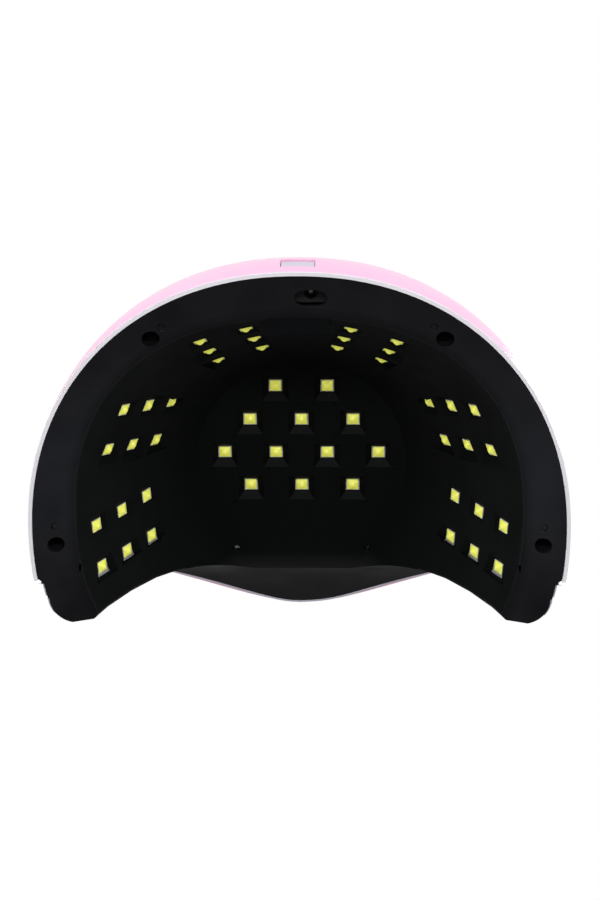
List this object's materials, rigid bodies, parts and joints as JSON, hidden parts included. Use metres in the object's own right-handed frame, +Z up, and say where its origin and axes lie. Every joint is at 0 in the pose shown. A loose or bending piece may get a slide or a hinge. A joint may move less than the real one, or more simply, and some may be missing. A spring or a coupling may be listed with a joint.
{
  "type": "uv led nail lamp",
  "caption": "Domed tabletop nail-curing lamp: pastel pink shell over a black hand bowl with an open front, rings of curing LEDs, a top key panel and a rear power key.",
  "frame": {"origin": "on the table plane, in the middle plane of the lamp, below the middle of the hand space", "axes": "+Z up; the open front that takes the hand faces -Y; X runs across the lamp"},
  "size_m": [0.23, 0.2005, 0.0958],
  "materials": {
    "black_component": "moulded black epoxy",
    "black_liner": "satin black moulding with fine texture",
    "can": "bright sleeve and can",
    "circuit_board": "green solder mask",
    "display_light": "lit red segments",
    "grey_key": "light grey satin key",
    "led_lens": "yellow phosphor resin",
    "led_package": "white ceramic package",
    "metal": "zinc plated steel",
    "pale_frame": "pale grey lilac, satin gloss",
    "pink_shell": "high gloss pastel pink moulding",
    "sensor_clear": "water-clear resin",
    "sensor_dark": "dark infra-red resin",
    "smoked_panel": "glossy smoked plate",
    "white_board": "white solder mask on aluminium",
    "white_key": "white key with printed number",
    "white_trim": "white glossy edge strip",
    "wire_red": "PVC insulation",
    "wire_white": "PVC insulation"
  },
  "bodies": {
    "housing": {"base_trim_ring": "white_trim", "buzzer": "black_component", "capacitors": "can", "ceiling_board_screws": "metal", "ceiling_led_board": "white_board", "ceiling_leds": "led_package", "ceiling_lenses": "led_lens", "control_board": "circuit_board", "control_board_screws": "metal", "control_panel": "smoked_panel", "controller_chip": "black_component", "display_module": "black_component", "display_segments": "display_light", "front_frame": "pale_frame", "hand_sensor_board": "circuit_board", "hand_sensor_emitter": "sensor_clear", "hand_sensor_receiver": "sensor_dark", "housing_screws": "metal", "inner_liner": "black_liner", "outer_shell": "pink_shell", "power_board": "circuit_board", "power_inductor": "black_component", "power_socket": "black_component", "power_switch": "black_component", "socket_pin": "metal", "supply_wires": "wire_red", "tact_switches": "black_component", "wall_board_leads": "wire_white", "wall_led_board_front_left": "white_board", "wall_led_board_front_right": "white_board", "wall_led_board_middle_left": "white_board", "wall_led_board_middle_right": "white_board", "wall_led_board_rear_left": "white_board", "wall_led_board_rear_right": "white_board", "wall_leds_front_left": "led_package", "wall_leds_front_right": "led_package", "wall_leds_middle_left": "led_package", "wall_leds_middle_right": "led_package", "wall_leds_rear_left": "led_package", "wall_leds_rear_right": "led_package", "wall_lenses_front_left": "led_lens", "wall_lenses_front_right": "led_lens", "wall_lenses_middle_left": "led_lens", "wall_lenses_middle_right": "led_lens", "wall_lenses_rear_left": "led_lens", "wall_lenses_rear_right": "led_lens"},
    "timer_key_10": {"timer_button_10": "white_key"},
    "timer_key_30": {"timer_button_30": "white_key"},
    "timer_key_60": {"timer_button_60": "white_key"},
    "timer_key_99": {"timer_button_99": "white_key"},
    "power_key": {"power_button": "grey_key"}
  },
  "joints": [
    {"name": "timer_10_press", "type": "slide", "parent": "housing", "child": "timer_key_10", "axis": [0, 0, -1], "range_m": [0, 0.0006]},
    {"name": "timer_30_press", "type": "slide", "parent": "housing", "child": "timer_key_30", "axis": [0, 0, -1], "range_m": [0, 0.0006]},
    {"name": "timer_60_press", "type": "slide", "parent": "housing", "child": "timer_key_60", "axis": [0, 0, -1], "range_m": [0, 0.0006]},
    {"name": "timer_99_press", "type": "slide", "parent": "housing", "child": "timer_key_99", "axis": [0, 0, -1], "range_m": [0, 0.0006]},
    {"name": "power_press", "type": "slide", "parent": "housing", "child": "power_key", "axis": [0, -1, 0], "range_m": [0, 0.0011]}
  ]
}
